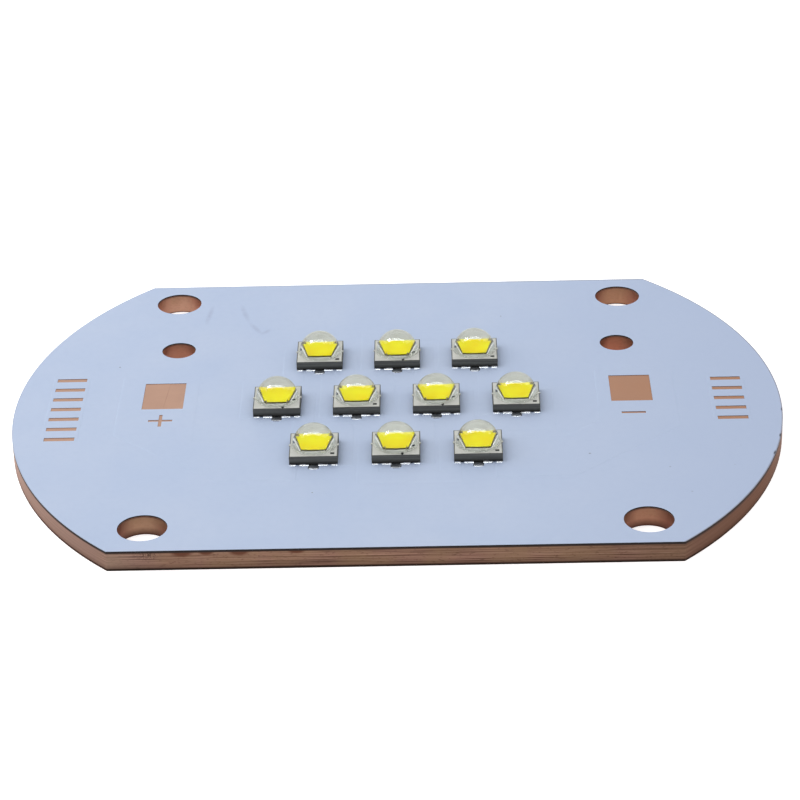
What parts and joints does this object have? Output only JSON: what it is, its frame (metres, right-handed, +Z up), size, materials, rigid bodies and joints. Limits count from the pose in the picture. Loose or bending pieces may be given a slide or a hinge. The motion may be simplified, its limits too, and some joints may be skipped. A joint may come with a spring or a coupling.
{
  "type": "high-power led board",
  "caption": "Round copper-core board with two flats, carrying rows of domed high-power diodes on a white mask, with solder lands, polarity signs and screw holes.",
  "frame": {"origin": "middle of the board's underside", "axes": "+X along the flats, with the minus land at +X; +Z up, the way the diodes shine"},
  "size_m": [0.0814, 0.0588, 0.0055],
  "materials": {
    "copper": "bare copper, milled edge",
    "foil": "bare copper foil, satin",
    "dielectric": "dark resin",
    "white_mask": "white lacquer, satin",
    "carrier": "grey ceramic with a pale top",
    "solder": "bright tin solder",
    "phosphor": "yellow phosphor",
    "silicone": "clear silicone",
    "gold": "gold wire"
  },
  "bodies": {
    "root": {"copper_core": "copper", "dielectric_layer": "dielectric", "solder_mask": "white_mask", "plus_track": "foil", "minus_track": "foil", "link_track_1": "foil", "link_track_2": "foil", "link_track_3": "foil", "link_track_4": "foil", "link_track_5": "foil", "link_track_6": "foil", "link_track_7": "foil", "link_track_8": "foil", "link_track_9": "foil", "left_mark_foil": "foil", "right_mark_foil": "foil", "bond_wires": "gold", "substrate_01": "carrier", "substrate_02": "carrier", "substrate_03": "carrier", "substrate_04": "carrier", "substrate_05": "carrier", "substrate_06": "carrier", "substrate_07": "carrier", "substrate_08": "carrier", "substrate_09": "carrier", "substrate_10": "carrier", "solder_joints_01": "solder", "solder_joints_02": "solder", "solder_joints_03": "solder", "solder_joints_04": "solder", "solder_joints_05": "solder", "solder_joints_06": "solder", "solder_joints_07": "solder", "solder_joints_08": "solder", "solder_joints_09": "solder", "solder_joints_10": "solder", "chip_01": "phosphor", "chip_02": "phosphor", "chip_03": "phosphor", "chip_04": "phosphor", "chip_05": "phosphor", "chip_06": "phosphor", "chip_07": "phosphor", "chip_08": "phosphor", "chip_09": "phosphor", "chip_10": "phosphor", "lens_01": "silicone", "lens_02": "silicone", "lens_03": "silicone", "lens_04": "silicone", "lens_05": "silicone", "lens_06": "silicone", "lens_07": "silicone", "lens_08": "silicone", "lens_09": "silicone", "lens_10": "silicone"}
  },
  "joints": []
}
